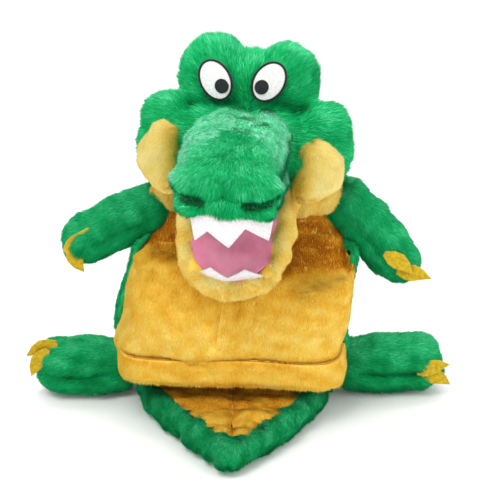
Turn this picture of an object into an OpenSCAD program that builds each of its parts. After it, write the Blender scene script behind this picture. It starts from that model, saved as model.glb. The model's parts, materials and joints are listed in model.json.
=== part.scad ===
// A crocodile hand puppet with a moving mouth, sitting on its folded tail.
// Millimetres. +Z is up, the puppet faces -Y, and the origin is on the ground under the seat.
// Plush pieces are shells with their pile, and the stuffing inside them is a solid of its own.

/* [Sleeve] */
// Width of the sleeve at the hem
sleeve_w = 214; // [180:1:250]
// Reach of the belly panel in front of the seat line, at the hem
belly_d = 94; // [84:1:112]
// Reach of the back panel behind the seat line
back_d = 44; // [38:1:52]
// Height of the shoulders, where the neck roll starts
shoulder_h = 196; // [185:1:226]
// Height of the hem's lower edge above the ground
hem_z = 51; // [44:1:58]
// Height of the hem band
hem_h = 16; // [10:1:20]
// Thickness of the plush, backing and pile together
plush_t = 5; // [3:0.5:6]
// Thickness of the lining cloth
lining_t = 1.2; // [0.8:0.1:2]

/* [Neck] */
// Width of the neck roll
neck_w = 186; // [160:1:200]
// Depth of the neck roll, front to back
neck_d = 84; // [76:1:92]
// Height of the neck roll
neck_h = 38; // [30:1:44]

/* [Head] */
// Width across the cheeks
cheek_w = 212; // [196:1:236]
// Width of the snout
snout_w = 106; // [98:1:110]
// Length of the snout in front of the mouth fold
snout_l = 104; // [92:1:122]
// Height of the brow lobes above the mouth line
brow_h = 126; // [116:1:142]
// Thickness of the brow lobes' flattened front, from the middle of the head
face_d = 31; // [28:1:33]
// Width of an eye
eye_w = 26; // [20:1:30]
// Height of an eye
eye_h = 37; // [30:1:42]
// Diameter of a pupil
pupil_d = 13.5; // [10:0.5:16]

/* [Mouth] */
// Width of the lower jaw
jaw_w = 103; // [90:1:106]
// Length of the lower jaw in front of the mouth fold
jaw_l = 104; // [90:1:110]
// Width of the stiff mouth boards
board_w = 80; // [66:1:84]
// Thickness of the mouth boards
board_t = 1.6; // [1:0.1:2.5]
// Angle that the mouth hangs open at rest
mouth_open = 55; // [45:1:57]
// Length of the middle upper tooth
tooth_l = 27; // [20:1:28]
// Length of the lower teeth
lower_tooth_l = 16; // [10:1:18]

/* [Limbs] */
// Radius of an arm at its thickest
arm_r = 22; // [18:0.5:23]
// Distance from an arm's root centre to its tip centre
arm_l = 70; // [58:1:84]
// Radius of a leg at its thickest
leg_r = 29; // [24:0.5:33]
// Distance from a leg's root centre to its tip centre
leg_l = 34; // [26:1:48]
// Reach of a claw past the paw
claw_l = 12; // [8:1:16]

/* [Tail] */
// Length of the tail in front of its fold
tail_l = 183; // [150:1:220]
// Width of the tail under the sleeve
tail_w = 198; // [165:1:200]
// Thickness of the stuffed tail
tail_t = 34; // [26:1:38]

/* [Hidden] */

GREEN = [0.05, 0.62, 0.34];
YELLOW = [0.89, 0.71, 0.2];
PINK = [0.85, 0.5, 0.62];
WHITE = [0.94, 0.94, 0.93];
BLACK = [0.06, 0.06, 0.07];
CLAW = [0.83, 0.76, 0.16];
CARD = [0.75, 0.7, 0.6];
FILL = [0.97, 0.97, 0.95];

seam_gap = 0.3;         // between two sewn pieces
fit = 0.5;              // round a board or a pocket
felt_t = 1.2;           // felt of the eyes and the teeth
claw_t = 1.6;           // felt of the claws
head_fn = 24;           // facets round a stuffed form of the head
limb_fn = 20;           // facets round a stuffed limb
boxiness = 3.2;         // superellipse power of the sleeve's plan
seam_a = 212;           // plan angle of the left side seam; the right one mirrors it
seam_deg = 0.09;        // degrees that open half a seam's gap
cols_front = 8;         // grid columns of one belly panel
cols_back = 34;         // grid columns of the back panel
lining_gap = 0.6;       // between the plush and the lining behind it
hem_t = plush_t + 2;    // thickness of the turned hem
thread_r = 0.6;
stitch_l = 4;
stitches = 17;

// The sleeve slumps: it leans to the right as it rises, and the belly folds out over the hem.
lean_low = -8;
lean_high = 8;
ridge_z = shoulder_h - 31;    // top of the belly's fold
chest_z = shoulder_h - 18;    // where the shelf of the fold meets the chest
chest_d = 24;                 // reach of the chest in front of the seat line
seat_t = 6;                   // height of the seat
seat_front = -4;              // front edge of the seat, where the tail folds

half_w = sleeve_w / 2;
widths = [
    [seat_t, half_w - 4], [hem_z, half_w], [hem_z + hem_h, half_w], [100, half_w - 2],
    [ridge_z - 20, half_w - 5], [ridge_z - 6, half_w - 8], [ridge_z, half_w - 11],
    [chest_z, half_w - 24], [shoulder_h - 5, half_w - 28], [shoulder_h, half_w - 34]
];
fronts = [
    [seat_t, belly_d - 6], [hem_z, belly_d], [hem_z + hem_h, belly_d - 2], [100, belly_d - 6],
    [ridge_z - 20, belly_d - 14], [ridge_z - 6, belly_d - 24], [ridge_z, belly_d - 32],
    [ridge_z + 5, belly_d - 46], [chest_z, chest_d + 4], [chest_z + 6, chest_d],
    [shoulder_h, chest_d]
];
backs = [
    [seat_t, back_d - 3], [hem_z, back_d], [100, back_d + 2], [ridge_z, back_d],
    [shoulder_h, back_d - 6]
];
leans = [[seat_t, lean_low / 2], [hem_z, lean_low], [ridge_z, lean_high - 3],
    [shoulder_h, lean_high]];
low_rows = [seat_t, 24, hem_z];
panel_rows = [
    hem_z + hem_h + seam_gap, 96, 122, ridge_z - 20, ridge_z - 8, ridge_z, ridge_z + 5,
    ridge_z + 9, chest_z, shoulder_h - 8, shoulder_h
];

// The neck roll bulges over the shoulders and is open at both ends.
neck_z = shoulder_h + 2;
neck_y = 5;
neck_seam = 196;
neck_rows = [[0, 0.76], [neck_h * 0.18, 0.88], [neck_h * 0.45, 0.98], [neck_h * 0.7, 1],
    [neck_h * 0.9, 0.93], [neck_h, 0.84]];
head_gap = 3;           // between the neck roll and the head

head_at = [0, -52, shoulder_h + 40];    // middle of the mouth fold
head_yaw = -6;
head_roll = 3;
skull_y = 52;           // middle of the skull behind the fold
lobe_x = 33;            // middle of a brow lobe from the middle of the head
cavity_top = 36;        // top of the hand's room in the head
snout_top = 70;
eye_x = 27;
eye_gap = 1.5;          // between an eye and the snout under it
eye_z = snout_top + eye_gap + eye_h / 2;
eye_tilt = 26;
outline_w = 1.6;

fold_r = 2;             // the soft fold at the back of the mouth
board_l = snout_l - 12;
tooth_slot = 2.2;
teeth_w = min(73, board_w * 0.9);
upper_span = 19;
lower_span = 17;
pocket_top = 27;
finger_w = board_w - 6;
finger_l = board_l - 14;
thumb_w = 44;
thumb_l = 62;
thumb_h = 13;
thumb_top = lining_t + board_t + 0.3;
jaw_t = 21;
jaw_balls = [
    [jaw_w / 2 - jaw_t / 2, -12], [jaw_w / 2 - jaw_t / 2, -52],
    [jaw_w * 0.4 - jaw_t / 2 + 2, -jaw_l * 0.72], [jaw_w * 0.28 - jaw_t / 2 + 4, -jaw_l * 0.87],
    [7, jaw_t / 2 - jaw_l]
];

tail_x = -6;
tail_gap = 4;           // between the seat and the tail, at the fold
tail_y = seat_front - tail_gap;
tail_rim = 20;

left_droop = 18;
right_droop = 38;
arm_ahead = 8;
leg_ahead = 4;
joint_gap = 2.5;        // between a limb's root and the sleeve
arm_z = shoulder_h - 6;
arm_reach = lookup(arm_z, widths) + joint_gap + arm_r;
arm_lean = lookup(arm_z, leans);
left_shoulder = [arm_lean - arm_reach, -8, arm_z];
right_shoulder = [arm_lean + arm_reach, -8, arm_z];
leg_reach = lookup(leg_r, widths) + joint_gap + leg_r;
leg_lean = lookup(leg_r, leans);
left_hip = [leg_lean - leg_reach, 0, leg_r];
right_hip = [leg_lean + leg_reach, 4, leg_r];
claw_fan = 26;
claw_w = 13;

function sgn_pow(v, e) = sign(v) * pow(abs(v), e);
function smooth(t) = t <= 0 ? 0 : t >= 1 ? 1 : t * t * (3 - 2 * t);

// A point of the sleeve's wall at plan angle a and height z, a distance in from its outside.
function wall_point(a, z, inset) =
    let (
        w = lookup(z, widths) - inset,
        d = lookup(z, sin(a) < 0 ? fronts : backs) - inset,
        e = 2 / boxiness
    )
    [lookup(z, leans) + w * sgn_pow(cos(a), e), d * sgn_pow(sin(a), e), z];

// The side walls stand on the tail in front and on the seat behind.
function foot_z(a) =
    let (front = smooth((-sin(a) + 0.12) / 0.3))
    seat_t + front * (tail_t + 6 - seat_t);

// Rows below the hem are raised to start at the wall's foot.
function raised(z, a) =
    let (t = (z - seat_t) / (hem_z - seat_t))
    z >= hem_z ? z : foot_z(a) + t * (hem_z - foot_z(a));

// The shelf of the fold is nearly level, so its inside is moved down as well as in.
function shelf_drop(z, a, inset) =
    sin(a) >= 0 ? 0 : inset * 0.9 * smooth(-2 * sin(a))
        * smooth((z - ridge_z + 16) / 16) * smooth((chest_z + 3 - z) / 6);

function spread(a0, a1, n) = [for (j = [0:n]) a0 + (a1 - a0) * j / n];

function wall_grid(rows, angles, inset) = [
    for (z = rows) [
        for (a = angles) let (p = wall_point(a, z, inset))
        [p[0], p[1], raised(z, a) - shelf_drop(z, a, inset)]
    ]
];

back_angles = spread(180 - seam_a + seam_deg, seam_a - seam_deg, cols_back);
left_angles = spread(seam_a + seam_deg, 270 - seam_deg, cols_front);
right_angles = spread(270 + seam_deg, 540 - seam_a - seam_deg, cols_front);
front_angles = spread(seam_a + seam_deg, 540 - seam_a - seam_deg, 2 * cols_front);
round_angles = concat(
    back_angles,
    [for (i = [1:cols_front]) left_angles[i]],
    [for (i = [1:cols_front - 1]) right_angles[i]]
);

// A closed sheet of cloth between two grids of points that run upwards and round anticlockwise.
// A ring closes on itself, and an open sheet gets two side edges.
module sheet(outer, inner, ring = false) {
    rows = len(outer);
    cols = len(outer[0]);
    n = rows * cols;
    last = ring ? cols - 1 : cols - 2;
    function o(i, j) = i * cols + (j % cols);
    function k(i, j) = n + o(i, j);
    faces = concat(
        [for (i = [0:rows - 2], j = [0:last]) each [
            [o(i, j), o(i + 1, j), o(i + 1, j + 1)], [o(i, j), o(i + 1, j + 1), o(i, j + 1)],
            [k(i, j), k(i + 1, j + 1), k(i + 1, j)], [k(i, j), k(i, j + 1), k(i + 1, j + 1)]
        ]],
        [for (j = [0:last]) let (t = rows - 1) each [
            [o(0, j), o(0, j + 1), k(0, j + 1)], [o(0, j), k(0, j + 1), k(0, j)],
            [o(t, j + 1), o(t, j), k(t, j)], [o(t, j + 1), k(t, j), k(t, j + 1)]
        ]],
        ring ? [] : [for (i = [0:rows - 2]) let (c = cols - 1) each [
            [o(i + 1, 0), o(i, 0), k(i, 0)], [o(i + 1, 0), k(i, 0), k(i + 1, 0)],
            [o(i, c), o(i + 1, c), k(i + 1, c)], [o(i, c), k(i + 1, c), k(i, c)]
        ]]
    );
    polyhedron(concat([for (r = outer) each r], [for (r = inner) each r]), faces);
}

module wall_panel(rows, angles, skin = plush_t) {
    sheet(wall_grid(rows, angles, 0), wall_grid(rows, angles, skin));
}

// A stuffed form: balls joined by a hull, each given as [x, y, z, radius], and grown by g.
module stuffed(balls, g = 0, fn = head_fn) {
    hull() for (b = balls) translate([b[0], b[1], b[2]]) sphere(r = b[3] + g, $fn = fn);
}

// Cuts and joins of rounded forms are made on their facets.
module soft() { resize([0, 0, 0]) children(); }

// ---- sleeve ----

module back_panel() {
    rows = concat(low_rows, panel_rows);
    color(GREEN) wall_panel(rows, back_angles);
}

module belly_left() {
    color(YELLOW) wall_panel(panel_rows, left_angles);
}

module belly_right() {
    color(YELLOW) wall_panel(panel_rows, right_angles);
}

module hem_band() {
    rows = [hem_z, hem_z + hem_h / 2, hem_z + hem_h];
    color(YELLOW) wall_panel(rows, front_angles, hem_t);
}

module hem_stitching() {
    first = seam_a + 6;
    step = (540 - 2 * first) / (stitches - 1);
    color(YELLOW) for (i = [0:stitches - 1]) {
        a = first + i * step;
        p = wall_point(a - 0.6, hem_z + hem_h - 3, -thread_r - 0.2);
        q = wall_point(a + 0.6, hem_z + hem_h - 3, -thread_r - 0.2);
        turn = atan2(q[1] - p[1], q[0] - p[0]);
        translate((p + q) / 2) rotate([0, 90, turn])
            cylinder(r = thread_r, h = stitch_l, center = true, $fn = 10);
    }
}

module sleeve_lining() {
    inset = plush_t + lining_gap;
    color(YELLOW) sheet(
        wall_grid(panel_rows, round_angles, inset),
        wall_grid(panel_rows, round_angles, inset + lining_t),
        true
    );
}

// The seat keeps to the plan of the wall that stands on it.
module seat_panel() {
    plan = [for (a = [-4:2:184]) let (p = wall_point(a, seat_t, 0))
        [p[0], max(p[1], seat_front)]];
    color(GREEN) linear_extrude(seat_t - seam_gap) polygon(plan);
}

// ---- neck ----

// A point of the neck roll at plan angle a on profile row [height, share of the full width].
function neck_point(a, row, inset) =
    let (w = neck_w / 2 * row[1] - inset, d = neck_d / 2 * row[1] - inset, e = 2 / 2.4)
    [lean_high + w * sgn_pow(cos(a), e), neck_y + d * sgn_pow(sin(a), e), neck_z + row[0]];

function neck_grid(angles, inset) = [
    for (row = neck_rows) [for (a = angles) neck_point(a, row, inset)]
];

neck_front_angles = spread(neck_seam + seam_deg, 540 - neck_seam - seam_deg, 18);
neck_back_angles = spread(180 - neck_seam + seam_deg, neck_seam - seam_deg, 22);

module neck_panel(angles) {
    sheet(neck_grid(angles, 0), neck_grid(angles, plush_t));
}

module neck_front() {
    color(YELLOW) neck_panel(neck_front_angles);
}

module neck_back() {
    color(GREEN) neck_panel(neck_back_angles);
}

module neck_lining() {
    inset = plush_t + lining_gap;
    angles = concat(neck_back_angles, [for (i = [1:17]) neck_front_angles[i]]);
    color(YELLOW) sheet(neck_grid(angles, inset), neck_grid(angles, inset + lining_t), true);
}

// ---- head ----

// The head is drawn about the middle of the mouth fold, with the palate at z = 0.
module in_head() {
    translate(head_at) rotate([0, head_roll, head_yaw]) children();
}

// The room that the head leaves free above the neck roll.
module neck_room() {
    plan = [for (a = [0:6:354]) let (p = neck_point(a, [0, 1], -head_gap)) [p[0], p[1]]];
    linear_extrude(neck_z + neck_h + head_gap) polygon(plan);
}

// The room that the jaw swings in, between the jowls.
module jaw_room() {
    translate([-jaw_w / 2 - 2.2, -160, -160]) cube([jaw_w + 4.4, 188, 160]);
}

module brow_form(g) {
    for (side = [-1, 1])
        stuffed([
            [side * lobe_x, skull_y, brow_h - face_d, face_d],
            [side * 30, skull_y, 62, 36],
            [side * 30, skull_y, 20, 36]
        ], g);
    stuffed([[-30, skull_y, 55, 36], [30, skull_y, 55, 36], [-30, skull_y, 20, 36],
        [30, skull_y, 20, 36]], g);
}

// The front of the skull is flat, where the eyes are sewn on.
module skull_form(g) {
    intersection() {
        brow_form(g);
        translate([-150, skull_y - face_d - g, -40]) cube([300, 200, 250]);
    }
}

module snout_form(g) {
    stuffed([
        [-snout_w / 2 + 28, 0, snout_top - 28, 28],
        [snout_w / 2 - 28, 0, snout_top - 28, 28],
        [-snout_w / 2 + 26, 2, 25, 26], [snout_w / 2 - 26, 2, 25, 26],
        [-snout_w / 2 + 24, 24 - snout_l, 25, 24], [snout_w / 2 - 24, 24 - snout_l, 25, 24]
    ], g);
}

module cheek_form(side, g = 0) {
    r = 45;
    stuffed([[side * (cheek_w / 2 - r), 30, 22, r], [side * (cheek_w / 2 - r - 4), 50, 34, 38]], g);
}

module jowl_form(side, g = 0) {
    stuffed([
        [side * (cheek_w / 2 - 28), 4, 4, 25], [side * (cheek_w / 2 - 26), 6, 26, 25],
        [side * (cheek_w / 2 - 38), 2, -2, 22]
    ], g);
}

module crown_skin() {
    color(GREEN) soft() difference() {
        in_head() difference() {
            skull_form(0);
            skull_form(-plush_t);
            translate([-board_w / 2 - 3, 0, -60]) cube([board_w + 6, 45, 60 + pocket_top + 2]);
            translate([0, 0, -60]) cube([300, 300, 2 * (60 - 12)], center = true);
            snout_form(seam_gap);
        }
        neck_room();
    }
}

module head_stuffing() {
    color(FILL) soft() in_head() difference() {
        skull_form(-plush_t - seam_gap);
        translate([-100, -60, -80]) cube([200, 200, 80 + cavity_top]);
        snout_form(seam_gap);
    }
}

// The outline shared by the mouth boards and linings, in front of the fold by y0.
module mouth_plan(w, l, y0) {
    r = w * 0.42;
    hull() {
        translate([-w / 2, -y0 - 1]) square([w, 1]);
        for (side = [-1, 1]) translate([side * (w / 2 - r), r - l]) circle(r = r, $fn = 48);
    }
}

module mouth_plate(w, l, y0, z0, t) {
    translate([0, 0, z0]) linear_extrude(t) mouth_plan(w, l, y0);
}

module snout_skin() {
    color(GREEN) soft() in_head() difference() {
        snout_form(0);
        intersection() {
            snout_form(-plush_t);
            translate([-100, -150, plush_t]) cube([200, 200, 200]);
        }
        translate([-100, -200, -60]) cube([200, 300, 60]);
        mouth_plate(board_w + 2 * fit, board_l + fit, -40, -1, 12);
        translate([-teeth_w / 2 - fit, -board_l - tooth_slot, -1])
            cube([teeth_w + 2 * fit, tooth_slot, 8]);
        translate([-board_w / 2 - fit, -2, -1]) cube([board_w + 2 * fit, 50, pocket_top + 2]);
        translate([-finger_w / 2 - fit, -finger_l - fold_r - 1 - fit, -1])
            cube([finger_w + 2 * fit, finger_l, pocket_top + 1 + fit]);
    }
}

module snout_stuffing() {
    color(FILL) soft() in_head() difference() {
        snout_form(-plush_t - seam_gap);
        translate([-100, -200, -60]) cube([200, 300, 60 + pocket_top + fit]);
    }
}

module cheek(side) {
    color(GREEN) soft() difference() {
        in_head() difference() {
            cheek_form(side);
            skull_form(seam_gap);
            snout_form(seam_gap);
            jowl_form(side, seam_gap);
            jaw_room();
            translate([-board_w / 2 - 3, -60, -60]) cube([board_w + 6, 150, 60 + pocket_top]);
        }
        neck_room();
    }
}

module jowl(side) {
    color(YELLOW) soft() difference() {
        in_head() difference() {
            jowl_form(side);
            skull_form(seam_gap);
            snout_form(seam_gap);
            jaw_room();
        }
        neck_room();
    }
}

module left_cheek() {
    cheek(-1);
}

module right_cheek() {
    cheek(1);
}

module left_jowl() {
    jowl(-1);
}

module right_jowl() {
    jowl(1);
}

// ---- eyes ----

// Flat on the front of the brow, t0 in front of it, leaning outwards at the top.
module on_brow(side, t0) {
    in_head() translate([side * eye_x, skull_y - face_d - t0, eye_z])
        rotate([0, side * eye_tilt, 0]) rotate([90, 0, 0]) children();
}

module oval(w, h, t) {
    linear_extrude(t) scale([w / 2, h / 2]) circle(r = 1, $fn = 48);
}

module eye_white(side) {
    color(WHITE) on_brow(side, 0.1) oval(eye_w, eye_h, felt_t);
}

module eye_outline(side) {
    grow = 2 * outline_w;
    color(BLACK) on_brow(side, 0.1) difference() {
        oval(eye_w + grow + 0.2, eye_h + grow + 0.2, felt_t + 0.4);
        translate([0, 0, -1]) oval(eye_w + 0.2, eye_h + 0.2, felt_t + 3);
    }
}

module pupil(side) {
    color(BLACK) on_brow(side, 0.1 + felt_t + 0.05)
        translate([-side * (eye_w - pupil_d) / 4, -eye_h * 0.14, 0])
        cylinder(r = pupil_d / 2, h = 0.8, $fn = 48);
}

module left_eye_white() {
    eye_white(-1);
}

module right_eye_white() {
    eye_white(1);
}

module left_eye_outline() {
    eye_outline(-1);
}

module right_eye_outline() {
    eye_outline(1);
}

module left_pupil() {
    pupil(-1);
}

module right_pupil() {
    pupil(1);
}

// ---- mouth ----

module upper_lining() {
    color(PINK) in_head() mouth_plate(board_w, board_l, fold_r + 1, 0, lining_t);
}

module upper_board() {
    color(CARD) in_head()
        mouth_plate(board_w - 2, board_l - 1, fold_r + 1, lining_t + 0.1, board_t);
}

// Triangular felt teeth on a strip; tips is a list of [x, length].
module tooth_strip(w, root, tips, span) {
    points = concat(
        [[w / 2, root], [-w / 2, root], [-w / 2, 0]],
        [for (i = [0:len(tips) - 1]) each [
            [tips[i][0], -tips[i][1]],
            [i < len(tips) - 1 ? tips[i][0] + span / 2 : w / 2, i < len(tips) - 1 ? -span / 4 : 0]
        ]]
    );
    rotate([90, 0, 0]) translate([0, 0, -felt_t / 2]) linear_extrude(felt_t) polygon(points);
}

module upper_teeth() {
    tips = [[-upper_span, tooth_l * 0.8], [0, tooth_l], [upper_span, tooth_l]];
    color(WHITE) in_head() translate([0, -board_l - tooth_slot / 2, 0])
        tooth_strip(teeth_w, 5, tips, upper_span);
}

module mouth_fold() {
    color(PINK) in_head() translate([-board_w / 2, 0, 0]) rotate([0, 90, 0])
        cylinder(r = fold_r, h = board_w, $fn = 24);
}

// A cloth pocket: a flat tube closed at its front end.
module pocket(w, l, h) {
    difference() {
        translate([-w / 2, -l, 0]) cube([w, l, h]);
        translate([lining_t - w / 2, lining_t - l, lining_t])
            cube([w - 2 * lining_t, l, h - 2 * lining_t]);
    }
}

module finger_pocket() {
    z0 = lining_t + board_t + 0.3;
    color(YELLOW) in_head() translate([0, -fold_r - 1, z0])
        pocket(finger_w, finger_l, pocket_top - z0);
}

module jaw_form(g) {
    stuffed([for (side = [-1, 1], p = jaw_balls) [side * p[0], p[1], -jaw_t / 2, jaw_t / 2]], g);
}

module in_jaw() {
    in_head() rotate([mouth_open, 0, 0]) children();
}

// Half of the jaw's padded skin, with the thumb pocket's room inside it.
module jaw_half(side) {
    color(YELLOW) soft() in_jaw() difference() {
        jaw_form(0);
        mouth_plate(board_w + 2 * fit, board_l + fit, -40, -thumb_top, 40);
        translate([-teeth_w / 2 - fit, -board_l - tooth_slot, -6])
            cube([teeth_w + 2 * fit, tooth_slot, 40]);
        translate([-thumb_w / 2 - fit, -thumb_l - fold_r - 2, -thumb_top - thumb_h - 2 * fit])
            cube([thumb_w + 2 * fit, thumb_l + 60, thumb_h + 4 * fit]);
        translate([side > 0 ? seam_gap / 2 - 200 : -seam_gap / 2, -200, -100])
            cube([200, 400, 200]);
    }
}

module jaw_left() {
    jaw_half(-1);
}

module jaw_right() {
    jaw_half(1);
}

module lower_lining() {
    color(PINK) in_jaw() mouth_plate(board_w, board_l, fold_r + 1, -lining_t, lining_t);
}

module lower_board() {
    color(CARD) in_jaw()
        mouth_plate(board_w - 2, board_l - 1, fold_r + 1, -lining_t - 0.1 - board_t, board_t);
}

module lower_teeth() {
    tips = [[-lower_span, lower_tooth_l], [lower_span, lower_tooth_l]];
    color(WHITE) in_jaw() translate([0, -board_l - tooth_slot / 2, 0]) mirror([0, 0, 1])
        tooth_strip(teeth_w, 5, tips, 2 * lower_span);
}

module thumb_pocket() {
    color(YELLOW) in_jaw() translate([0, -fold_r - 1, -thumb_top - thumb_h])
        pocket(thumb_w, thumb_l, thumb_h);
}

// ---- tail ----

module tail_form(g) {
    r = tail_t / 2;
    stuffed([
        [tail_x - tail_w / 2 + r, tail_y - r, r, r], [tail_x + tail_w / 2 - r, tail_y - r, r, r],
        [tail_x - tail_w * 0.43 + r, tail_y - tail_l * 0.5, r, r],
        [tail_x + tail_w * 0.43 - r, tail_y - tail_l * 0.5, r, r],
        [tail_x - 8, tail_y - tail_l + r, r * 0.96, r * 0.96],
        [tail_x + 8, tail_y - tail_l + r, r * 0.96, r * 0.96]
    ], g, limb_fn);
}

// The yellow triangle on the upper side, inside the green rim.
module tail_panel_room(g) {
    rim = tail_rim - g;
    translate([0, 0, tail_t * 0.63]) linear_extrude(tail_t) polygon([
        [tail_x - tail_w / 2 + rim, tail_y - 8],
        [tail_x - tail_w * 0.43 + rim, tail_y - tail_l * 0.5],
        [tail_x - 5 - g, tail_y - tail_l + rim],
        [tail_x + 5 + g, tail_y - tail_l + rim],
        [tail_x + tail_w * 0.43 - rim, tail_y - tail_l * 0.5],
        [tail_x + tail_w / 2 - rim, tail_y - 8]
    ]);
}

module tail_back() {
    color(GREEN) soft() difference() {
        tail_form(0);
        tail_form(-plush_t);
        tail_panel_room(seam_gap);
    }
}

module tail_belly(side) {
    color(YELLOW) soft() difference() {
        intersection() {
            tail_form(0);
            tail_panel_room(0);
        }
        tail_form(-plush_t);
        translate([tail_x + (side > 0 ? seam_gap / 2 - 300 : -seam_gap / 2), -300, -10])
            cube([300, 400, 100]);
    }
}

module tail_belly_left() {
    tail_belly(-1);
}

module tail_belly_right() {
    tail_belly(1);
}

module tail_stuffing() {
    color(FILL) tail_form(-plush_t - seam_gap);
}

// ---- limbs ----

// A limb is drawn along +X from its root and turned into place on its own side.
module in_limb(root, side, droop, ahead) {
    translate(root) mirror([side < 0 ? 1 : 0, 0, 0]) rotate([0, droop, -ahead]) children();
}

module limb_form(r, l, g) {
    stuffed([[0, 0, 0, r], [l, 0, 0, r * 0.9]], g, limb_fn);
}

module limb_half(r, l, up) {
    difference() {
        limb_form(r, l, 0);
        limb_form(r, l, -plush_t);
        translate([-100, -100, up > 0 ? seam_gap / 2 - 100 : -seam_gap / 2])
            cube([300, 200, 100]);
    }
}

// Two felt claws that stand out of the paw's seam.
module claws(r, l) {
    reach = r * 0.9 + claw_l;
    difference() {
        for (turn = [-claw_fan, claw_fan]) translate([l, 0, -claw_t / 2]) rotate([0, 0, turn])
            linear_extrude(claw_t) hull() {
                translate([r * 0.5, 0]) circle(r = claw_w / 2, $fn = 24);
                translate([reach - 2, 0]) circle(r = 2, $fn = 16);
            }
        limb_form(r, l, seam_gap);
    }
}

module left_arm_place() {
    in_limb(left_shoulder, -1, left_droop, arm_ahead) children();
}

module right_arm_place() {
    in_limb(right_shoulder, 1, right_droop, arm_ahead) children();
}

module left_leg_place() {
    in_limb(left_hip, -1, 0, leg_ahead) children();
}

module right_leg_place() {
    in_limb(right_hip, 1, 0, leg_ahead) children();
}

module left_arm_upper() {
    color(GREEN) soft() left_arm_place() limb_half(arm_r, arm_l, 1);
}

module left_arm_lower() {
    color(GREEN) soft() left_arm_place() limb_half(arm_r, arm_l, -1);
}

module left_arm_stuffing() {
    color(FILL) left_arm_place() limb_form(arm_r, arm_l, -plush_t - seam_gap);
}

module left_arm_claws() {
    color(CLAW) soft() left_arm_place() claws(arm_r, arm_l);
}

module right_arm_upper() {
    color(GREEN) soft() right_arm_place() limb_half(arm_r, arm_l, 1);
}

module right_arm_lower() {
    color(GREEN) soft() right_arm_place() limb_half(arm_r, arm_l, -1);
}

module right_arm_stuffing() {
    color(FILL) right_arm_place() limb_form(arm_r, arm_l, -plush_t - seam_gap);
}

module right_arm_claws() {
    color(CLAW) soft() right_arm_place() claws(arm_r, arm_l);
}

module left_leg_upper() {
    color(GREEN) soft() left_leg_place() limb_half(leg_r, leg_l, 1);
}

module left_leg_lower() {
    color(GREEN) soft() left_leg_place() limb_half(leg_r, leg_l, -1);
}

module left_leg_stuffing() {
    color(FILL) left_leg_place() limb_form(leg_r, leg_l, -plush_t - seam_gap);
}

module left_leg_claws() {
    color(CLAW) soft() left_leg_place() claws(leg_r, leg_l);
}

module right_leg_upper() {
    color(GREEN) soft() right_leg_place() limb_half(leg_r, leg_l, 1);
}

module right_leg_lower() {
    color(GREEN) soft() right_leg_place() limb_half(leg_r, leg_l, -1);
}

module right_leg_stuffing() {
    color(FILL) right_leg_place() limb_form(leg_r, leg_l, -plush_t - seam_gap);
}

module right_leg_claws() {
    color(CLAW) soft() right_leg_place() claws(leg_r, leg_l);
}

back_panel();
seat_panel();
belly_left();
belly_right();
hem_band();
hem_stitching();
sleeve_lining();
neck_front();
neck_back();
neck_lining();
crown_skin();
head_stuffing();
snout_skin();
snout_stuffing();
left_cheek();
right_cheek();
left_jowl();
right_jowl();
left_eye_white();
right_eye_white();
left_eye_outline();
right_eye_outline();
left_pupil();
right_pupil();
upper_board();
upper_lining();
upper_teeth();
mouth_fold();
finger_pocket();
jaw_left();
jaw_right();
lower_board();
lower_lining();
lower_teeth();
thumb_pocket();
tail_back();
tail_belly_left();
tail_belly_right();
tail_stuffing();
left_arm_upper();
left_arm_lower();
left_arm_stuffing();
left_arm_claws();
right_arm_upper();
right_arm_lower();
right_arm_stuffing();
right_arm_claws();
left_leg_upper();
left_leg_lower();
left_leg_stuffing();
left_leg_claws();
right_leg_upper();
right_leg_lower();
right_leg_stuffing();
right_leg_claws();
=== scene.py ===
import json

import bmesh
import bpy
import numpy as np
from mathutils import Matrix, Vector


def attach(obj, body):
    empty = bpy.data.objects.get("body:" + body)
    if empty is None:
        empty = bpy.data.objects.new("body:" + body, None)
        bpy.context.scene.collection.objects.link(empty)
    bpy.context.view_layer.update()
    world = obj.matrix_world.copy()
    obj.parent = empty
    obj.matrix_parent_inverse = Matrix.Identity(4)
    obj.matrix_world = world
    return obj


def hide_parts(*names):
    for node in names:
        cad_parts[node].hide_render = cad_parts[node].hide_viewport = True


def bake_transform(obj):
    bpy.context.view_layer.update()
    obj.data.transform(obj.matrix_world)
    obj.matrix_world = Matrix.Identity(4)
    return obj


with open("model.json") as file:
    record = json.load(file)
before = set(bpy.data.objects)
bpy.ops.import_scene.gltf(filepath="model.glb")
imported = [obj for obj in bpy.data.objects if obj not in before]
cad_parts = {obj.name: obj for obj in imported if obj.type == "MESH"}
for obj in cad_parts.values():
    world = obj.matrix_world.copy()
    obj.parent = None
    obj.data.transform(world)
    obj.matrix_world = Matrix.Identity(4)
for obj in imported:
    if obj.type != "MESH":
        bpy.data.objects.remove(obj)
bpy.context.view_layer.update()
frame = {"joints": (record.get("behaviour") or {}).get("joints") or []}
MM = 0.001
FLOOR_Z = 0.0004        # lowest the pile comes
SKIN_Z = 0.001          # lowest the skin under the pile comes
WAVE_COUNT = 7          # waves summed in one smooth random field

# Thicknesses of cloth and felt, in millimetres.
PLUSH_T = 5
FELT_T = 1.6
CLAW_T = 2.0
LINING_T = 1.2

# ---- the frames that the pieces are drawn in ----


def joint(name):
    return next(j for j in frame["joints"] if j["name"] == name)


def head_matrix():
    """The head's own frame: the middle of the mouth fold, with the palate level."""
    j = joint("mouth")
    x = -Vector(j["axis"]).normalized()
    y = Vector((0, 0, 1)).cross(x).normalized()
    z = x.cross(y)
    turn = Matrix((x, y, z)).transposed().to_4x4()
    return Matrix.Translation(Vector(j["pos_m"])) @ turn


MOUTH_OPEN = 55.0
HEAD = head_matrix()
SNOUT = HEAD @ Matrix.Rotation(np.radians(-2.5), 4, "Z")
JAW = HEAD @ Matrix.Rotation(np.radians(MOUTH_OPEN), 4, "X")
WORLD = Matrix.Identity(4)


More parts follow.
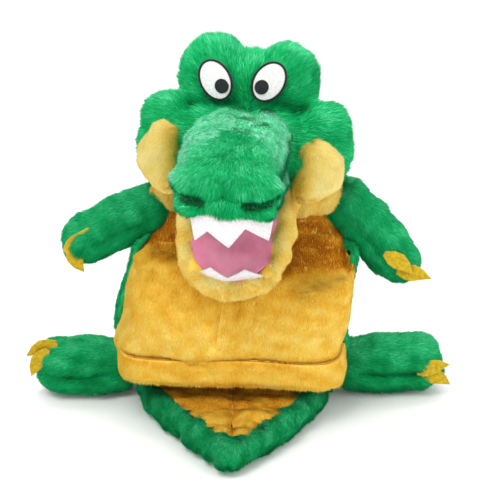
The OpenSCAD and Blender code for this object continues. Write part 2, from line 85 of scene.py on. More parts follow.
def placed(points, matrix):
    """Millimetre points of a frame, as metres in the row frame."""
    p = np.asarray(points, float).reshape(-1, 3) * MM
    m = np.array(matrix)
    return p @ m[:3, :3].T + m[:3, 3]


# ---- numbers on fields ----


def waves(p, size, seed):
    """A smooth random field from about -1 to 1 with lumps of the given size."""
    r = np.random.default_rng(seed)
    k = r.normal(size=(WAVE_COUNT, 3))
    k *= (2 * np.pi / size / np.linalg.norm(k, axis=1) * r.uniform(0.6, 1.5, WAVE_COUNT))[:, None]
    return np.sin(p @ k.T + r.uniform(0, 7, WAVE_COUNT)).sum(1) / WAVE_COUNT ** 0.5 / 0.75


def near_path(p, path):
    """Distance from each point to a polyline."""
    best = np.full(len(p), 1e9)
    for a, b in zip(path[:-1], path[1:]):
        d = b - a
        t = np.clip((p - a) @ d / max(d @ d, 1e-12), 0, 1)
        best = np.minimum(best, np.linalg.norm(p - a - t[:, None] * d, axis=1))
    return best


def smoothstep(x, a, b):
    t = np.clip((x - a) / (b - a), 0, 1)
    return t * t * (3 - 2 * t)


# ---- meshes ----


def new_mesh(name, verts, faces, smooth=True):
    mesh = bpy.data.meshes.new(name)
    mesh.from_pydata([tuple(v) for v in verts], [], [tuple(f) for f in faces])
    mesh.update()
    if smooth:
        mesh.shade_smooth()
    return mesh


def new_object(name, mesh):
    ob = bpy.data.objects.new(name, mesh)
    bpy.context.scene.collection.objects.link(ob)
    return ob


def coords(mesh):
    co = np.empty(len(mesh.vertices) * 3, np.float32)
    mesh.vertices.foreach_get("co", co)
    return co.reshape(-1, 3).astype(float)


def set_coords(mesh, co):
    mesh.vertices.foreach_set("co", np.asarray(co, np.float32).ravel())
    mesh.update()


def normals(mesh):
    no = np.empty(len(mesh.vertices) * 3, np.float32)
    mesh.vertices.foreach_get("normal", no)
    return no.reshape(-1, 3).astype(float)


def relax(mesh, rounds):
    """Evens the surface out by moving each vertex towards its neighbours."""
    e = np.empty(len(mesh.edges) * 2, np.int64)
    mesh.edges.foreach_get("vertices", e)
    e = e.reshape(-1, 2)
    co = coords(mesh)
    n = np.bincount(e.ravel(), minlength=len(co))[:, None]
    for _ in range(rounds):
        s = np.zeros_like(co)
        np.add.at(s, e[:, 0], co[e[:, 1]])
        np.add.at(s, e[:, 1], co[e[:, 0]])
        co = co * 0.4 + s / n * 0.6
    set_coords(mesh, co)


def ball_points(c, r, steps=14):
    """Points on an ellipsoid; r is one radius or three."""
    u = np.linspace(0, 2 * np.pi, steps, endpoint=False)
    v = np.linspace(-np.pi / 2, np.pi / 2, steps // 2 + 2)
    u, v = [x.ravel() for x in np.meshgrid(u, v)]
    unit = np.stack([np.cos(v) * np.cos(u), np.cos(v) * np.sin(u), np.sin(v)], 1)
    return unit * np.broadcast_to(r, 3) + c


def add_hull(bm, points):
    verts = [bm.verts.new(p) for p in points]
    made = bmesh.ops.convex_hull(bm, input=verts)
    loose = {v for v in made["geom_unused"] + made["geom_interior"]
             if isinstance(v, bmesh.types.BMVert)}
    bmesh.ops.delete(bm, geom=list(loose), context="VERTS")


def fused(name, hulls, matrix, voxel=2.6, rounds=10):
    """One smooth skin round several hulls, each a list of (centre, radius) in millimetres."""
    bm = bmesh.new()
    for balls in hulls:
        points = np.concatenate([ball_points(c, r) for c, r in balls])
        add_hull(bm, placed(points, matrix))
    mesh = bpy.data.meshes.new(name)
    bm.to_mesh(mesh)
    bm.free()
    ob = new_object(name + "_form", mesh)
    mod = ob.modifiers.new("voxels", "REMESH")
    mod.mode = "VOXEL"
    mod.voxel_size = voxel * MM
    graph = bpy.context.evaluated_depsgraph_get()
    made = bpy.data.meshes.new_from_object(ob.evaluated_get(graph))
    bpy.data.objects.remove(ob)
    made.name = name
    relax(made, rounds)
    made.shade_smooth()
    return made


def press(mesh, path, depth, width):
    """Presses a seam or crease into the surface along a path given in metres."""
    co, no = coords(mesh), normals(mesh)
    d = near_path(co, path)
    set_coords(mesh, co - no * (depth * MM * np.exp(-((d / (width * MM)) ** 2)))[:, None])


def rumple(mesh, height, size, seed):
    co, no = coords(mesh), normals(mesh)
    set_coords(mesh, co + no * (height * MM * waves(co, size * MM, seed))[:, None])


def grid_mesh(name, grid, thick=0.0):
    """A sheet through a grid of points in metres; with a thickness it gets a back and edges."""
    rows, cols = grid.shape[:2]
    i, j = np.meshgrid(np.arange(rows - 1), np.arange(cols - 1), indexing="ij")
    a = (i * cols + j).ravel()
    faces = np.stack([a, a + 1, a + cols + 1, a + cols], 1)
    mesh = new_mesh(name, grid.reshape(-1, 3), faces)
    if thick:
        ob = new_object(name + "_form", mesh)
        mod = ob.modifiers.new("thickness", "SOLIDIFY")
        mod.thickness, mod.offset = thick * MM, -1
        graph = bpy.context.evaluated_depsgraph_get()
        mesh = bpy.data.meshes.new_from_object(ob.evaluated_get(graph))
        bpy.data.objects.remove(ob)
        mesh.shade_smooth()
    return mesh


# ---- materials ----


def linear(r, g, b):
    c = np.array([r, g, b]) / 255
    c = np.where(c <= 0.04045, c / 12.92, ((c + 0.055) / 1.055) ** 2.4)
    return (*map(float, c), 1.0)


def shader(name, rough, sheen=0.0, tint=None):
    mat = bpy.data.materials.new(name)
    mat.use_nodes = True
    node = mat.node_tree.nodes["Principled BSDF"]
    node.inputs["Roughness"].default_value = rough
    node.inputs["Sheen Weight"].default_value = sheen
    node.inputs["Sheen Roughness"].default_value = 0.4
    if tint:
        node.inputs["Sheen Tint"].default_value = tint
    node.inputs["Specular IOR Level"].default_value = 0.25
    return mat, mat.node_tree, node


def cloth(name, dark, light, size, rough=0.9, sheen=0.3, bump=0.2, weave=0.0):
    """Cloth whose colour varies between two tones in lumps of size millimetres."""
    mat, tree, node = shader(name, rough, sheen)
    place = tree.nodes.new("ShaderNodeTexCoord")
    lumps = tree.nodes.new("ShaderNodeTexNoise")
    lumps.inputs["Scale"].default_value = 1000 / size
    lumps.inputs["Detail"].default_value = 5
    ramp = tree.nodes.new("ShaderNodeValToRGB")
    ramp.color_ramp.elements[0].position, ramp.color_ramp.elements[1].position = 0.35, 0.65
    ramp.color_ramp.elements[0].color, ramp.color_ramp.elements[1].color = dark, light
    fine = tree.nodes.new("ShaderNodeTexWave" if weave else "ShaderNodeTexNoise")
    fine.inputs["Scale"].default_value = 1000 / (weave or 0.8)
    lift = tree.nodes.new("ShaderNodeBump")
    lift.inputs["Strength"].default_value = bump
    lift.inputs["Distance"].default_value = 0.0005
    link = tree.links.new
    link(place.outputs["Object"], lumps.inputs["Vector"])
    link(place.outputs["Object"], fine.inputs["Vector"])
    link(lumps.outputs[0], ramp.inputs[0])
    link(ramp.outputs[0], node.inputs["Base Color"])
    link(fine.outputs["Fac"], lift.inputs["Height"])
    link(lift.outputs[0], node.inputs["Normal"])
    return mat


def pile(name, tones):
    """One material per tone of a pile, from its painted shade to its painted light."""
    made = []
    for i, tone in enumerate(tones):
        mat, _, node = shader(f"{name}_{i}", 0.85, 0.25, linear(*tone))
        node.inputs["Specular IOR Level"].default_value = 0.1
        node.inputs["Base Color"].default_value = linear(*tone)
        made.append(mat)
    return made


GREEN_SKIN = cloth("green_backing", linear(2, 130, 66), linear(14, 158, 86), 14)
YELLOW_SKIN = cloth("yellow_backing", linear(226, 172, 54), linear(240, 200, 84), 12)
# painted shade: the darker green given to the nostril creases of the snout
GREEN_PAINTED_SHADE = cloth("green_painted_shade", linear(0, 56, 30), linear(0, 82, 44), 10)
# Each pile runs from a painted shade tone through its own colours to a painted light tone; the lightest
# greens are also the painted mint sheen of the snout.
GREEN_PILE = pile("green_pile", [(0, 84, 44), (0, 128, 66), (4, 160, 86), (22, 180, 104),
                                 (64, 206, 136), (118, 232, 178), (166, 246, 210)])
LIMB_PILE = pile("limb_pile", [(0, 88, 44), (0, 118, 62), (4, 144, 78), (20, 164, 94),
                               (48, 186, 118), (92, 208, 150), (132, 224, 180)])
# The darkest yellows are the painted shade of the recess under the chin.
YELLOW_PILE = pile("yellow_pile", [(164, 92, 12), (198, 126, 20), (226, 162, 40), (238, 184, 58),
                                   (245, 202, 82), (250, 218, 112), (254, 234, 150)])
JOWL_PILE = pile("jowl_pile", [(196, 124, 26), (222, 158, 44), (238, 192, 74), (246, 210, 102),
                               (250, 224, 128), (253, 236, 156), (255, 245, 186)])
WHITE_FELT = cloth("white_felt", linear(214, 208, 210), linear(232, 228, 229), 2, bump=0.8)
CLAW_FELT = cloth("claw_felt", linear(170, 140, 14), linear(200, 168, 34), 3, bump=0.5)
PINK = cloth("pink_lining", linear(214, 116, 148), linear(228, 142, 170), 20, 0.6, 0.4, 0.15, 0.7)
BLACK = cloth("black_thread", linear(14, 14, 18), linear(32, 32, 38), 1.5, 0.5, 0.1, 0.5)
YELLOW_THREAD = cloth("yellow_thread", linear(212, 160, 50), linear(236, 192, 84), 1.5, 0.6)
LINING = cloth("lining_cloth", linear(206, 178, 96), linear(222, 196, 120), 4, 0.9, 0.1, 0.2, 0.9)

# ---- pile ----


def scatter(mesh, count, seed, keep=None):
    """Points spread over the surface by area, with normals."""
    r = np.random.default_rng(seed)
    mesh.calc_loop_triangles()
    tri = np.empty(len(mesh.loop_triangles) * 3, np.int32)
    mesh.loop_triangles.foreach_get("vertices", tri)
    tri = tri.reshape(-1, 3)
    co, no = coords(mesh), normals(mesh)
    a, b, c = co[tri[:, 0]], co[tri[:, 1]], co[tri[:, 2]]
    area = np.linalg.norm(np.cross(b - a, c - a), axis=1)
    if keep is not None:
        area = area * keep((a + b + c) / 3)
    pick = r.choice(len(tri), count, p=area / area.sum())
    u, v = r.random(count), r.random(count)
    flip = u + v > 1
    u[flip], v[flip] = 1 - u[flip], 1 - v[flip]
    w = np.stack([1 - u - v, u, v], 1)[:, :, None]
    p = (co[tri[pick]] * w).sum(1)
    n = (no[tri[pick]] * w).sum(1)
    return p, n / np.linalg.norm(n, axis=1)[:, None]


def unit(v):
    return v / np.maximum(np.linalg.norm(v, axis=-1, keepdims=True), 1e-9)


def fur(name, mesh, tones, count, length, comb, seed, lay=0.68, root=0.5, keep=None, tone=None,
        clump=0.25, speckle=0.5, trim=None):
    """Tapered tufts laid along the comb direction. tone(p, n) shifts their shade up or down, mostly
    to paint light and shade into the pile, and trim(p) shortens them."""
    r = np.random.default_rng(seed + 1)
    p, n = scatter(mesh, count, seed, keep)
    flow = comb(p, n)
    flow = unit(flow - (flow * n).sum(1)[:, None] * n)
    stray = np.stack([waves(p, 11 * MM, seed + k) for k in (11, 12, 13)], 1)
    way = n * (1 - lay) + flow * lay + stray * clump * 0.35 + r.normal(size=p.shape) * 0.09
    way = unit(way)
    side = unit(np.cross(way, n) + r.normal(size=p.shape) * 0.05)
    up = np.cross(side, way)
    size = length * MM * r.uniform(0.75, 1.1, count) * (1 + 0.08 * waves(p, 16 * MM, seed + 5))
    if trim is not None:
        size = size * trim(p)
    droop = flow * (size * lay * 0.2)[:, None]
    base = p - n * 0.4 * MM
    w = root * MM
    ring = [side * w, side * (-w * 0.5) + up * w * 0.87, side * (-w * 0.5) - up * w * 0.87]
    tip = base + way * size[:, None] + droop
    tip[:, 2] = np.maximum(tip[:, 2], FLOOR_Z)
    verts = np.stack([base + ring[0], base + ring[1], base + ring[2], tip], 1)
    verts[..., 2] = np.maximum(verts[..., 2], FLOOR_Z)
    cap = np.array([[3, 1, 0], [3, 2, 1], [3, 0, 2]])
    faces = (np.arange(count)[:, None, None] * 4 + cap).reshape(-1, 3)
    made = bpy.data.meshes.new(name)
    made.vertices.add(count * 4)
    made.vertices.foreach_set("co", verts.astype(np.float32).ravel())
    made.loops.add(faces.size)
    made.loops.foreach_set("vertex_index", faces.ravel().astype(np.int32))
    made.polygons.add(len(faces))
    made.polygons.foreach_set("loop_start", np.arange(0, faces.size, 3).astype(np.int32))
    for mat in tones:
        made.materials.append(mat)
    # random tone variation, with the painted light and shade of tone() added
    shade = 2.9 + 0.35 * waves(p, 20 * MM, seed + 9) + r.normal(size=count) * speckle
    if tone is not None:
        shade = shade + tone(p, n)
    slots = np.repeat(np.clip(np.round(shade), 0, len(tones) - 1), 3)
    made.polygons.foreach_set("material_index", slots.astype(np.int32))
    made.update(calc_edges=True)
    made.shade_smooth()
    # the tufts are lit as the surface under them is, which gives a pile its soft look
    soft = unit(n[:, None] * 0.75 + way[:, None] * 0.15 + np.stack(
        [unit(ring[k]) * 0.35 for k in (0, 1, 2)] + [n * 0.1], 1))
    made.normals_split_custom_set_from_vertices(soft.reshape(-1, 3).tolist())
    return new_object(name, made)


def piece(ob, body, mat=None, stands_for=(), bend=None):
    """Gives a finished piece its material, hides the CAD nodes that it stands for and hangs it on the
    body that it moves with; given bend, it is only baked in place and hung on no body.
    """
    if mat is not None:
        ob.data.materials.clear()
        ob.data.materials.append(mat)
    if stands_for:
        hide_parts(*stands_for)
    if bend:
        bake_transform(ob)
    else:
        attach(ob, body)
    return ob


def shade_faces(ob, mat, paths, width):
    """Gives the faces within width millimetres of the paths a second material."""
    mesh = ob.data
    mesh.materials.append(mat)
    mid = np.empty(len(mesh.polygons) * 3, np.float32)
    mesh.polygons.foreach_get("center", mid)
    near = np.min([near_path(mid.reshape(-1, 3).astype(float), path) for path in paths], 0)
    mesh.polygons.foreach_set("material_index", (near < width * MM).astype(np.int32))


def flow_to(vector):
    """A comb that lays the pile one way everywhere."""
    return lambda p, n: np.broadcast_to(np.array(vector, float), p.shape)


def turned(v):
    """A direction of the head's frame, in the row frame."""
    return np.array(HEAD.to_3x3() @ Vector(v))


def head_xyz(p, matrix=HEAD):
    """Points back in millimetres of a frame."""
    m = np.array(matrix.inverted())
    return (p @ m[:3, :3].T + m[:3, 3]) / MM


# ---- head ----


HEAD_CREASES = {
    "brow": [(-54, 20, 56), (-40, 15, 64), (0, 12, 68), (40, 14, 66), (56, 20, 62), (68, 24, 60)],
    "nostril": [(46, -87, 19), (40, -91, 14), (30, -95, 11), (20, -96, 10)],
    "nose": [(0, -50, 62), (0, -80, 55), (0, -100, 36), (0, -106, 20), (0, -104, 4)],
}
EYES = {"left": (-28, 90, -31), "right": (20.5, 92, 29)}
EYE_SIZE = (27, 37)


def crease_paths(name):
    """A crease of the face in metres; the nostrils' crease is on both sides."""
    path = HEAD_CREASES[name]
    if name == "brow":
        return [placed(path, HEAD)]
    if name == "nose":
        return [placed(path, SNOUT)]
    return [placed([(side * x, y, z) for x, y, z in path], SNOUT) for side in (-1, 1)]


# Nearness to a crease of the face: the painted shade of the pile along the creases, and the trim of the
# nostrils' pile, come from it.
def dark_near(p, name, width):
    return sum(np.exp(-((near_path(p, path) / (width * MM)) ** 2)) for path in crease_paths(name))


def eye_distance(q):
    """How many eye sizes each point of the head is from the nearer eye's middle."""
    best = np.full(len(q), 9.0)
    for x, z, tilt in EYES.values():
        t = np.radians(tilt)
        dx, dz = q[:, 0] - x, q[:, 2] - z
        u = dx * np.cos(t) - dz * np.sin(t)
        v = dx * np.sin(t) + dz * np.cos(t)
        d = np.hypot(u / (EYE_SIZE[0] / 2), v / (EYE_SIZE[1] / 2))
        best = np.minimum(best, np.where(q[:, 1] < 45, d, 9.0))
    return best


def make_head():
    mesh = fused("head_plush", [
        [((-32, 50, 91), (32, 29, 33)), ((-33, 50, 66), (32, 30, 30))],
        [((32, 50, 87), (31, 29, 33)), ((32, 50, 66), (31, 30, 30))],
        [((-5, 50, 82), (40, 29, 30))],
        [((0, 50, 40), (74, 36, 40)), ((0, 58, 8), (62, 30, 22))],
        [((-57, 30, 26), (42, 44, 38)), ((-56, 32, 6), (35, 37, 24))],
        [((-68, 24, 48), (28, 26, 25))],
        [((58, 30, 26), (42, 44, 38)), ((56, 32, 6), (35, 37, 24))],
        [((68, 24, 48), (29, 26, 27))],
        [((-38, 10, 34), (22, 20, 34)), ((38, 10, 34), (22, 20, 34))],
    ], HEAD, rounds=10)
    for side in (-1, 1):
        press(mesh, placed([(side * 46, 18, 82), (side * 54, -2, 64), (side * 50, -14, 30)], HEAD), 5, 6)
    press(mesh, crease_paths("brow")[0], 5, 6)
    rumple(mesh, 0.7, 34, 3)
    ob = piece(new_object("head_plush", mesh), "head", GREEN_SKIN, [
        "crown_skin", "head_stuffing", "left_cheek", "right_cheek"])

    def comb(p, n):
        q = head_xyz(p)
        out = unit(q - np.array([0, 0, 66])) * np.array([1, 0.3, 1]) + np.array([0, 0.1, 0.15])
        return out @ np.array(HEAD.to_3x3()).T

    def tone(p, n):
        q = head_xyz(p)
        # painted light on the pile facing up; painted shade on the pile facing down, along the brow
        # crease and round the rims of the eyes
        t = 0.9 * smoothstep(n[:, 2], 0.3, 0.95) - 0.9 * smoothstep(-n[:, 2], 0.1, 0.8)
        return t - 2.8 * dark_near(p, "brow", 11) - 0.7 * np.exp(-((eye_distance(q) - 1) / 0.25) ** 2)

    def keep(p):
        q = head_xyz(p)
        hidden = (np.abs(q[:, 0]) < 40) & (q[:, 1] < 6) & (q[:, 2] < 50)
        return np.where((eye_distance(q) < 1.06) | hidden, 0.0, np.where(q[:, 1] > 60, 0.55, 1.0))
    for k in range(2):
        coat = fur(f"head_fur_{k + 1}", mesh, GREEN_PILE, 30000, 8.0, comb, 20 + k, keep=keep, tone=tone)
        piece(coat, "head")


def make_snout():
    mesh = fused("snout_plush", [
        [((-20, 6, 42), 25), ((20, 6, 42), 25), ((-22, -34, 37), 23), ((22, -34, 37), 23)],
        [((-22, -34, 36), 24), ((22, -34, 36), 24), ((-24, -68, 29), 21), ((24, -68, 29), 21)],
        [((-27, -80, 23), (23, 19, 17)), ((-12, -82, 25), (16, 19, 15))],
        [((27, -80, 23), (23, 19, 17)), ((12, -82, 25), (16, 19, 15))],
        [((-34, -50, 10), 12), ((-28, -83, 5), (17, 17, 10)), ((28, -83, 5), (17, 17, 10)),
         ((34, -50, 10), 12), ((36, -10, 12), 11), ((-36, -10, 12), 11)],
    ], SNOUT, rounds=5)
    for path in crease_paths("nostril"):
        press(mesh, path, 6, 4)
    press(mesh, crease_paths("nose")[0][3:], 2.5, 4)
    rumple(mesh, 0.7, 30, 5)
    ob = piece(new_object("snout_plush", mesh), "head", GREEN_SKIN,
               ["snout_skin", "snout_stuffing", "finger_pocket", "upper_board"])
    # painted shade: the faces along the nostril creases get the darker green
    shade_faces(ob, GREEN_PAINTED_SHADE, crease_paths("nostril"), 6)

    def comb(p, n):
        q = head_xyz(p)
        w = smoothstep(-q[:, 1], 66, 98)[:, None]
        side = q[:, :1] / 60 * np.array([[1.0, 0, 0]])
        out = np.array([0, -1, 0.0]) * (1 - w) + np.array([0, -0.1, -1.0]) * w + side
        return out @ np.array(HEAD.to_3x3()).T

    def tone(p, n):
        q = head_xyz(p)
        # painted sheen on the top and flanks of the snout, left out along a saddle down its middle;
        # painted shade underneath, at the back under the brow and in the nostril creases
        ahead = smoothstep(-q[:, 1], 36, 84)
        saddle = np.exp(-((q[:, 0] / (14 + 26 * ahead)) ** 4)) * smoothstep(-q[:, 1], 30, 50)
        painted_sheen = 1.9 * smoothstep(n[:, 2], 0.1, 0.7) + 1.0 * smoothstep(np.abs(q[:, 0]), 30, 44)
        painted_sheen = np.minimum(painted_sheen, 2.0) * (1 - 0.85 * saddle) * smoothstep(-q[:, 1], -14, -2)
        under = -1.0 * smoothstep(-n[:, 2], 0.1, 0.8) - 1.8 * smoothstep(q[:, 1], 2, 14)
        return painted_sheen + under - 3.6 * np.minimum(1.3 * dark_near(p, "nostril", 5), 1)

    def trim(p):
        return 1 - 0.75 * np.minimum(dark_near(p, "nostril", 8), 1)
    for k in range(2):
        coat = fur(f"snout_fur_{k + 1}", mesh, GREEN_PILE, 32000, 7.0, comb, 40 + k, 0.76,
                   keep=lambda p: np.where(head_xyz(p)[:, 1] > 16, 0.1, 1.0), tone=tone, trim=trim)
        piece(coat, "head")


JOWLS = {
    "left": ([((-70, -4, 42), (13, 14, 13)), ((-75, -5, 22), (20, 15, 19))],
             [((-75, -6, 16), (20, 15, 18)), ((-65, -8, -4), (11, 15, 9))]),
    "right": ([((68, -4, 32), (15, 14, 17)), ((75, -6, 24), (20, 14, 18))],
              [((73, -6, 14), (23, 15, 18)), ((60, -10, -3), (11, 15, 9))]),
}


def make_jowls():
    for name, hulls in JOWLS.items():
        side = -1 if name == "left" else 1
        mesh = fused(f"{name}_jowl_plush", hulls, HEAD, rounds=18)
        press(mesh, placed([(side * 44, -16, -2), (side * 58, -20, -4), (side * 66, -18, -4)], HEAD),
              4, 3)
        ob = piece(new_object(f"{name}_jowl_plush", mesh), "head", YELLOW_SKIN,
                   [f"{name}_jowl"])

        def comb(p, n, side=side):
            return np.broadcast_to(turned((side * 0.5, 0.1, -1)), p.shape)

        def tone(p, n, side=side):
            q = head_xyz(p)
            # the jowl pile is paler overall, with painted shade on its inner side and underneath
            inner = smoothstep(-np.abs(q[:, 0]), -74, -54)
            return 1.3 - 2.2 * inner - 0.8 * (n[:, 2] < -0.5)
        coat = fur(f"{name}_jowl_fur", mesh, JOWL_PILE, 40000, 4.0, comb, 60 + side, 0.6, 0.4,
                   tone=tone, speckle=0.6)
        piece(coat, "head")


def make_throat():
    mesh = fused("throat_plush", [
        [((-46, 6, -14), (14, 16, 14)), ((46, 6, -14), (14, 16, 14)), ((0, 16, -16), (50, 14, 12))],
    ], HEAD, rounds=8)
    ob = piece(new_object("throat_plush", mesh), "head", YELLOW_SKIN, [])


# ---- eyes and mouth ----


def extruded(name, outline, thick, matrix, dome=0.0, rings=5):
    """A flat felt shape with soft edges: outline in mm in the x-z plane, its front at -y."""
    outline = np.asarray(outline, float)
    centre = outline.mean(0)
    verts, faces = [], []
    n = len(outline)
    layers = [(1.0, 0.0), (1.012, 0.25), (1.012, 0.75), (1.0, 1.0)]
    layers += [(1 - (k + 1) / (rings + 1), 1.0 + dome * (1 - (1 - (k + 1) / (rings + 1)) ** 2))
               for k in range(rings)]
    for scale, depth in layers:
        for p in outline:
            q = centre + (p - centre) * scale
            verts.append((q[0], -depth * thick, q[1]))
    for k in range(len(layers) - 1):
        for i in range(n):
            j = (i + 1) % n
            faces.append((k * n + i, k * n + j, (k + 1) * n + j, (k + 1) * n + i))
    last = (len(layers) - 1) * n
    verts.append((centre[0], -(1 + dome) * thick, centre[1]))
    faces += [(last + i, last + (i + 1) % n, len(verts) - 1) for i in range(n)]
    faces.append(tuple(reversed(range(n))))
    return new_object(name, new_mesh(name, placed(verts, matrix), faces, smooth=False))


def oval(w, h, n=48, cx=0.0, cz=0.0):
    a = np.linspace(0, 2 * np.pi, n, endpoint=False)
    return np.stack([cx + w / 2 * np.cos(a), cz + h / 2 * np.sin(a)], 1)


def tube(name, path, radius, matrix, sides=8, closed=False, bumps=0, swell=0.0):
    """A round thread or roll along a path in millimetres, swelling at each stitch."""
    path = np.asarray(path, float)
    n = len(path)
    ahead = np.roll(path, -1, 0) - np.roll(path, 1, 0)
    if not closed:
        ahead[0], ahead[-1] = path[1] - path[0], path[-1] - path[-2]
    ahead = unit(ahead)
    ref = np.array([0.3, 0.2, 0.93])
    side = unit(np.cross(ahead, ref))
    up = np.cross(side, ahead)
    a = np.linspace(0, 2 * np.pi, sides, endpoint=False)
    r = radius * (1 + swell * np.sin(np.arange(n) / n * 2 * np.pi * bumps))
    ring = (side[:, None] * np.cos(a)[None, :, None] + up[:, None] * np.sin(a)[None, :, None])
    verts = (path[:, None] + ring * r[:, None, None]).reshape(-1, 3)
    faces = []
    for i in range(n if closed else n - 1):
        for k in range(sides):
            m = (k + 1) % sides
            faces.append((i * sides + k, i * sides + m, (i + 1) % n * sides + m,
                          (i + 1) % n * sides + k))
    if not closed:
        faces += [tuple(range(sides))[::-1], tuple((n - 1) * sides + k for k in range(sides))]
    return new_object(name, new_mesh(name, placed(verts, matrix), faces))


def make_eyes():
    for name, (x, z, tilt) in EYES.items():
        side = -1 if name == "left" else 1
        place = HEAD @ Matrix.Translation(Vector((x, 17.0, z)) * MM) @ \
            Matrix.Rotation(np.radians(tilt), 4, "Y") @ Matrix.Rotation(np.radians(-6), 4, "X")
        white = extruded(f"{name}_eye_felt", oval(*EYE_SIZE), 2.2, place, 0.9)
        piece(white, "head", WHITE_FELT, [f"{name}_eye_white"])
        edge = oval(EYE_SIZE[0] + 0.6, EYE_SIZE[1] + 0.6, 160)
        path = np.stack([edge[:, 0], np.full(160, -2.0), edge[:, 1]], 1)
        ring = tube(f"{name}_eye_embroidery", path, 1.15, place, 8, True, 52, 0.2)
        piece(ring, "head", BLACK, [f"{name}_eye_outline"])
        black = extruded(f"{name}_eye_pupil", oval(12.6, 13.4, 40, -side * 3.0, -7.4), 0.9,
                         place @ Matrix.Translation((0, -3.4 * MM, 0)), 0.5)
        piece(black, "head", BLACK, [f"{name}_pupil"])


def toothed(points):
    """An outline whose straight sides are cut into short steps."""
    out = []
    for a, b in zip(points, points[1:] + points[:1]):
        a, b = np.array(a, float), np.array(b, float)
        steps = max(2, int(np.linalg.norm(b - a) / 2.5))
        out += [a + (b - a) * i / steps for i in range(steps)]
    return np.array(out)


def felt_strip(name, upper, lower, y, bulge, matrix, lean=0.0):
    """A cut felt strip between an upper and a lower edge line, curved round the jaw's front."""
    xs = np.linspace(upper[0][0], upper[-1][0], 90)
    top = np.interp(xs, [p[0] for p in upper], [p[1] for p in upper])
    low = np.interp(xs, [p[0] for p in lower], [p[1] for p in lower])
    rows = 8
    half = max(abs(xs[0]), abs(xs[-1]))
    grid = []
    for i in range(rows + 1):
        t = i / rows
        z = top * (1 - t) + low * t
        yy = y + bulge * (xs / half) ** 2 + lean * z
        grid.append(np.stack([xs, yy, z], 1))
    grid = np.array(grid)
    mesh = grid_mesh(name, placed(grid, matrix).reshape(grid.shape), FELT_T)
    return new_object(name, mesh)


def make_teeth():
    upper = felt_strip("upper_teeth_felt", [(-33, 6), (39, 6)],
                       [(-33, -1), (-27, -27), (-16, -16), (3, -29), (16, -11), (36, -23), (39, 0)],
                       -96, 12, HEAD)
    piece(upper, "head", WHITE_FELT, ["upper_teeth"])
    lower = felt_strip("lower_teeth_felt", [(-29, -2), (-17, 7.5), (-1, 1.5), (14, 9), (30, 0)],
                       [(-29, -7), (30, -7)], -92, 7, JAW, 0.8)
    piece(lower, "jaw", WHITE_FELT, ["lower_teeth"])


def mouth_cloth(name, matrix, width, length, z0, sag, top):
    """The pink lining of one jaw: a U-shaped cloth that dips in the middle."""
    rows, cols = 40, 40
    grid = np.zeros((rows, cols, 3))
    for i in range(rows):
        t = i / (rows - 1)
        y = -length * t
        half = width / 2 * (1 - max(0, (t - 0.45) / 0.55) ** 2.4 * 0.72)
        xs = np.linspace(-half, half, cols)
        dip = sag * np.sin(np.pi * np.clip(t * 1.05, 0, 1)) ** 0.8 * (1 - (xs / half) ** 2)
        grid[i] = np.stack([xs, np.full(cols, y), z0 + dip * (1 if top else -1)], 1)
    grid[..., 2] += 0.8 * waves(grid.reshape(-1, 3), 26, 4 + top).reshape(rows, cols)
    mesh = grid_mesh(name, placed(grid, matrix).reshape(grid.shape), 1.4)
    return new_object(name, mesh)


def make_mouth():
    low = mouth_cloth("lower_mouth_lining", JAW, 88, 94, -1.5, 4, False)
    piece(low, "jaw", PINK, ["lower_lining", "lower_board"])
    high = mouth_cloth("upper_mouth_lining", HEAD, 88, 94, 1.2, 3, True)
    piece(high, "head", PINK, ["upper_lining"])
    path = [(x, 1.2 - 1.6 * (x / 44) ** 2, 0) for x in np.linspace(-44, 44, 40)]
    fold = tube("mouth_fold_cloth", path, 4.2, HEAD, 16)
    piece(fold, "head", PINK, ["mouth_fold"])


# ---- lower jaw ----


def make_jaw():
    rim = [(-44, -2), (-45, -30), (-43.5, -60), (-36, -83), (-20, -96), (0, -100)]
    rim = rim + [(-x, y) for x, y in rim[-2::-1]]
    hulls = [[((a[0], a[1], -8), (8.5, 9, 10)), ((b[0], b[1], -8), (8.5, 9, 10))]
             for a, b in zip(rim[:-1], rim[1:])]
    hulls.append([((x, y, -12), (9, 9, 7)) for x, y in rim] + [((0, -50, -14), (30, 30, 9))])
    mesh = fused("jaw_plush", hulls, JAW, 2.4, 7)
    press(mesh, placed([(0, -84, 6), (0, -100, 4), (0, -112, -8), (0, -98, -24), (0, -20, -26)], JAW),
          2.6, 2.4)
    rumple(mesh, 0.8, 16, 8)
    ob = piece(new_object("jaw_plush", mesh), "jaw", YELLOW_SKIN,
               ["jaw_left", "jaw_right", "thumb_pocket"])

    def comb(p, n):
        q = head_xyz(p, JAW)
        out = np.stack([q[:, 0] / 60, np.full(len(q), -0.5), np.full(len(q), -0.5)], 1)
        return out @ np.array(JAW.to_3x3()).T

    def keep(p):
        q = head_xyz(p, JAW)
        inner = (np.abs(q[:, 0]) < 36) & (q[:, 1] > -86) & (q[:, 2] > -8)
        return np.where(inner, 0.0, 1.0)
    # the tone paints light onto the jaw pile that faces up
    coat = fur("jaw_fur", mesh, JOWL_PILE, 50000, 4.6, comb, 80, 0.66, 0.45, keep,
               lambda p, n: -0.1 + 1.0 * smoothstep(n[:, 2], 0.1, 1), 0.3, 0.6)
    piece(coat, "jaw")


# ---- sleeve ----

SLEEVE_POWER = 5.0      # superellipse power of the sleeve's plan
SLEEVE_MIDDLE = (0, 0, 0.12)
NECK_MIDDLE = (0.008, 0, 0.21)
HEM_Z, STITCH_Z, TOP_Z = 51, 73, 200
